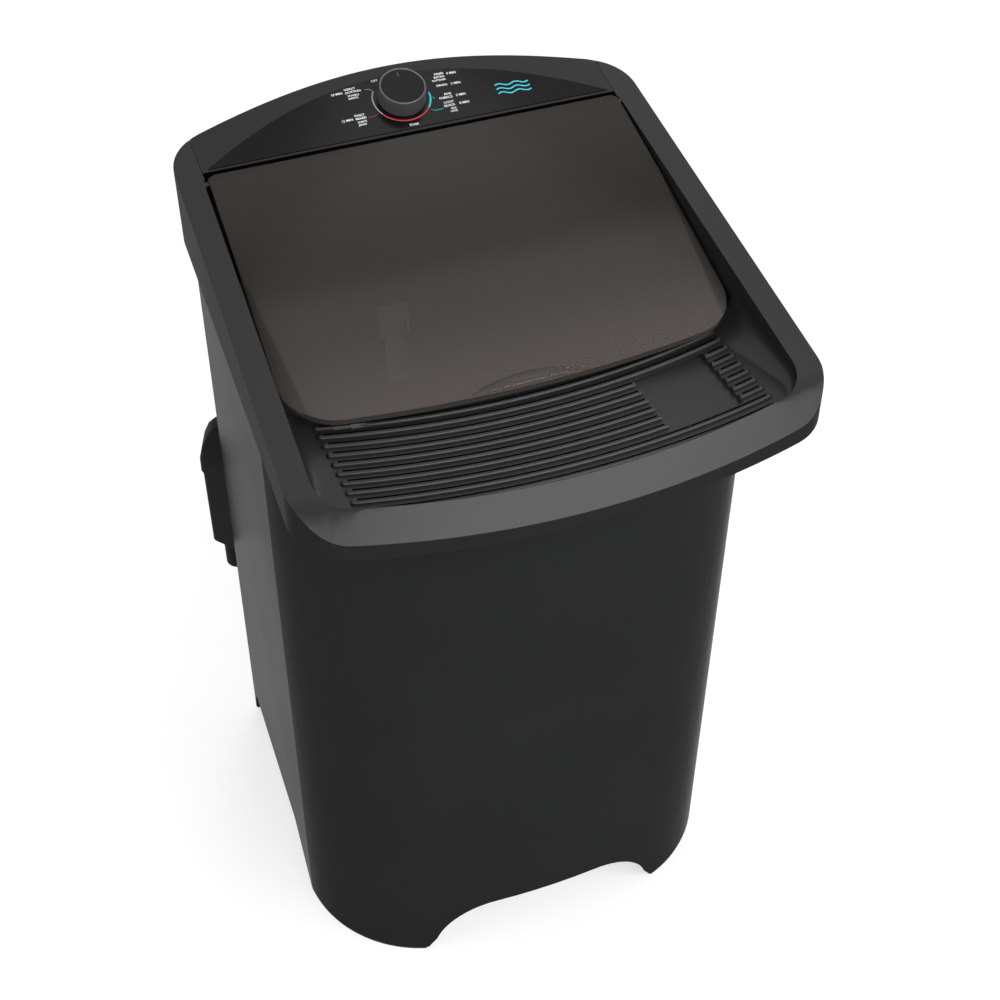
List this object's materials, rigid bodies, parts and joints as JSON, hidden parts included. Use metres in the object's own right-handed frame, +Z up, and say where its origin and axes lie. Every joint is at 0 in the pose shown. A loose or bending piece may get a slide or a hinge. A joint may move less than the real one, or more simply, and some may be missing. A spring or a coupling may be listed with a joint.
{
  "type": "washing machine",
  "caption": "Dark top-loading semi-automatic washing machine with a ribbed washboard, soap tray, smoky hinged lid, timer knob, belt-driven agitator, lint filter and drain.",
  "frame": {"origin": "on the floor, under the centre of the overall box", "axes": "+Z up, -Y to the front where the washboard is, +X to the right seen from the front"},
  "size_m": [0.5554, 0.648, 0.974],
  "materials": {
    "cabinet_plastic": "satin",
    "frame_plastic": "satin",
    "overlay_gloss": "gloss",
    "lid_smoke": "gloss",
    "knob_black": "gloss",
    "mark_white": "matte",
    "tub_plastic": "satin",
    "mesh_white": "matte",
    "steel": "satin",
    "bronze": "satin",
    "alloy": "satin",
    "motor_paint": "satin",
    "fan_plastic": "matte",
    "rubber": "matte"
  },
  "bodies": {
    "machine": {"cabinet_front": "cabinet_plastic", "cabinet_left_side": "cabinet_plastic", "cabinet_right_side": "cabinet_plastic", "cabinet_back": "cabinet_plastic", "hose_holder": "cabinet_plastic", "hose_holder_cap": "cabinet_plastic", "rear_cover": "cabinet_plastic", "drain_outlet": "cabinet_plastic", "cable_gland": "cabinet_plastic", "top_frame": "frame_plastic", "control_panel": "frame_plastic", "washboard": "frame_plastic", "panel_overlay": "overlay_gloss", "timer_body": "knob_black", "tub": "tub_plastic", "filter_bracket": "tub_plastic", "drain_spigot": "tub_plastic", "lid_hinge_pins": "steel", "housing_bolts": "steel", "rail_bolts": "steel", "rear_cover_screws": "steel", "base_rails": "steel", "motor_plate": "steel", "capacitor_clip": "steel", "lower_bush": "bronze", "upper_bush": "bronze", "lower_motor_bush": "bronze", "upper_motor_bush": "bronze", "stator": "bronze", "bearing_housing": "alloy", "capacitor": "alloy", "motor_housing": "motor_paint", "motor_end_cap": "motor_paint", "foot_pads": "rubber", "shaft_seal": "rubber", "motor_mounts": "rubber", "drive_belt": "rubber", "drain_hose": "rubber"},
    "lid": {"lid": "lid_smoke"},
    "timer_knob": {"knob": "knob_black", "knob_pointer": "mark_white", "timer_shaft": "steel"},
    "agitator": {"agitator": "tub_plastic", "agitator_shaft": "steel", "driven_pulley": "alloy", "pulley_nut": "steel"},
    "motor": {"rotor": "steel", "motor_shaft": "steel", "motor_fan": "fan_plastic", "motor_pulley": "alloy"},
    "filter": {"lint_filter": "tub_plastic", "filter_mesh": "mesh_white"}
  },
  "joints": [
    {"name": "lid_hinge", "type": "hinge", "parent": "machine", "child": "lid", "pos_m": [0, 0.177, 0.92455], "axis": [-1, 0, 0], "range_deg": [0, 108]},
    {"name": "timer_turn", "type": "hinge", "parent": "machine", "child": "timer_knob", "pos_m": [0, 0.236, 0.94549], "axis": [0, -0.3252, 0.9456], "range_deg": [0, 330]},
    {"name": "agitator_spin", "type": "hinge", "parent": "machine", "child": "agitator", "pos_m": [0, 0.019, 0.4], "axis": [0, 0, 1], "continuous": true},
    {"name": "motor_spin", "type": "hinge", "parent": "machine", "child": "motor", "pos_m": [0.15, 0.019, 0.22], "axis": [0, 0, 1], "continuous": true},
    {"name": "filter_lift", "type": "slide", "parent": "machine", "child": "filter", "axis": [0, 0, 1], "range_m": [0, 0.13]}
  ],
  "couplings": [
    {"joint": "motor_spin", "follows": "agitator_spin", "ratio": 4.376}
  ]
}
